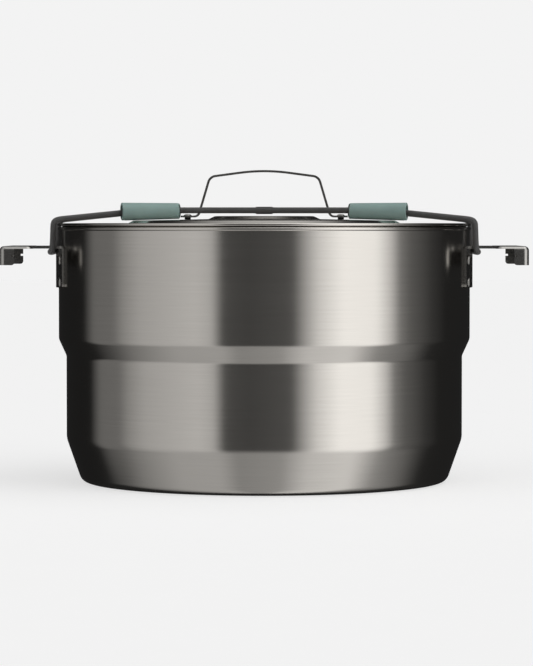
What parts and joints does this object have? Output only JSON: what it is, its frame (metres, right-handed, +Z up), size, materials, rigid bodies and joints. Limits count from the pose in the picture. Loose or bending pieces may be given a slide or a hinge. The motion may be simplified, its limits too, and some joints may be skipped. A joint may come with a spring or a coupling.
{
  "type": "lidded camp cooking pot",
  "caption": "Large stainless camp cooking pot with stepped sides, riveted side handles, lift-off lid with strip handle and an elastic strap with green sleeves.",
  "frame": {"origin": "middle of the base, on the surface that the pot stands on", "axes": "+X through the side handles, +Z up"},
  "size_m": [0.281, 0.2224, 0.1675],
  "materials": {
    "brushed_stainless": "fine circumferential brushing, satin",
    "polished_stainless": "bright rolled sheet, lightly polished",
    "elastic_cord": "black braided sheath over an elastic core",
    "green_silicone": "matt moulded silicone, grey green",
    "black_rubber": "matt black"
  },
  "bodies": {
    "pot": {"pot_body": "brushed_stainless", "left_side_handle": "polished_stainless", "right_side_handle": "polished_stainless", "left_handle_rivets": "polished_stainless", "right_handle_rivets": "polished_stainless", "lid_strap": "elastic_cord"},
    "lid": {"lid": "brushed_stainless", "lid_handle": "polished_stainless", "lid_handle_spacers": "black_rubber", "lid_handle_rivets": "polished_stainless", "strap_crimp": "polished_stainless"},
    "front_left_sleeve": {"front_left_sleeve": "green_silicone"},
    "front_right_sleeve": {"front_right_sleeve": "green_silicone"},
    "rear_left_sleeve": {"rear_left_sleeve": "green_silicone"},
    "rear_right_sleeve": {"rear_right_sleeve": "green_silicone"}
  },
  "joints": [
    {"name": "lid_lift", "type": "slide", "parent": "pot", "child": "lid", "axis": [0, 0, 1], "range_m": [0, 0.08], "deforming": ["lid_strap"]},
    {"name": "front_left_sleeve_slide", "type": "slide", "parent": "lid", "child": "front_left_sleeve", "axis": [-0.9903, -0.1386, 0], "range_m": [0, 0.012], "deforming": ["lid_strap"]},
    {"name": "front_right_sleeve_slide", "type": "slide", "parent": "lid", "child": "front_right_sleeve", "axis": [0.9903, -0.1386, 0], "range_m": [0, 0.012], "deforming": ["lid_strap"]},
    {"name": "rear_left_sleeve_slide", "type": "slide", "parent": "lid", "child": "rear_left_sleeve", "axis": [-0.9903, 0.1386, 0], "range_m": [0, 0.012], "deforming": ["lid_strap"]},
    {"name": "rear_right_sleeve_slide", "type": "slide", "parent": "lid", "child": "rear_right_sleeve", "axis": [0.9903, 0.1386, 0], "range_m": [0, 0.012], "deforming": ["lid_strap"]}
  ]
}
